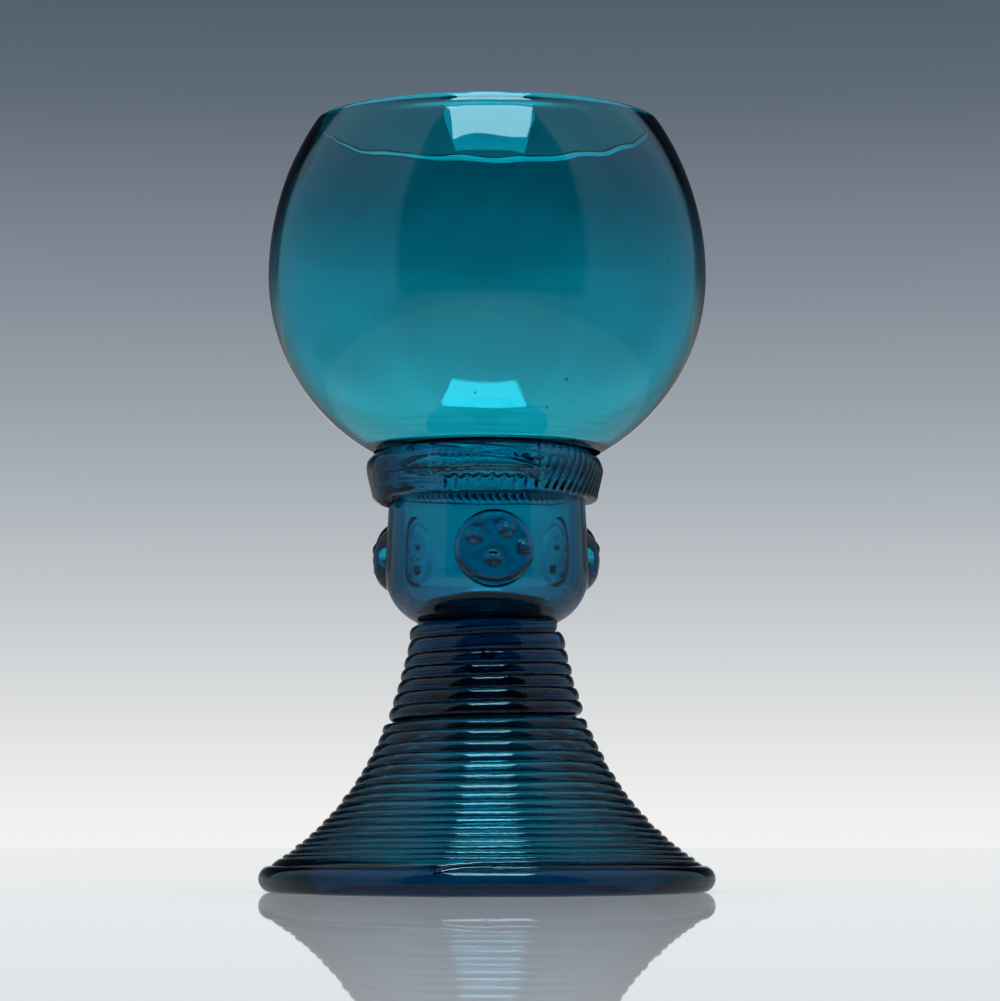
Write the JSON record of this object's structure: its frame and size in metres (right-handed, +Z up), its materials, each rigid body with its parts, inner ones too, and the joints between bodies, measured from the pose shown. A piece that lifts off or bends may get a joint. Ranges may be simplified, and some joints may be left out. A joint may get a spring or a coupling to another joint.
{
  "type": "roemer wine glass",
  "caption": "Blown peacock-blue roemer with a globular bowl, milled neck collar, hollow stem set with pearled prunts, and a flared foot wound with glass thread.",
  "frame": {"origin": "centre of the foot on the table, at the bottom of the foot rim", "axes": "+Z up along the glass axis, -Y towards the front prunt, +X to the right as seen from the front"},
  "size_m": [0.0804, 0.0804, 0.1362],
  "materials": {
    "bowl_glass": "gloss",
    "stem_glass": "gloss",
    "foot_glass": "gloss"
  },
  "bodies": {
    "root": {"bowl": "bowl_glass", "stem": "stem_glass", "milled_collar": "stem_glass", "prunt_front": "stem_glass", "prunt_right": "stem_glass", "prunt_left": "stem_glass", "joining_plug": "stem_glass", "foot_cone": "foot_glass", "upper_trail": "foot_glass", "lower_trail": "foot_glass", "foot_rim": "foot_glass"}
  },
  "joints": []
}
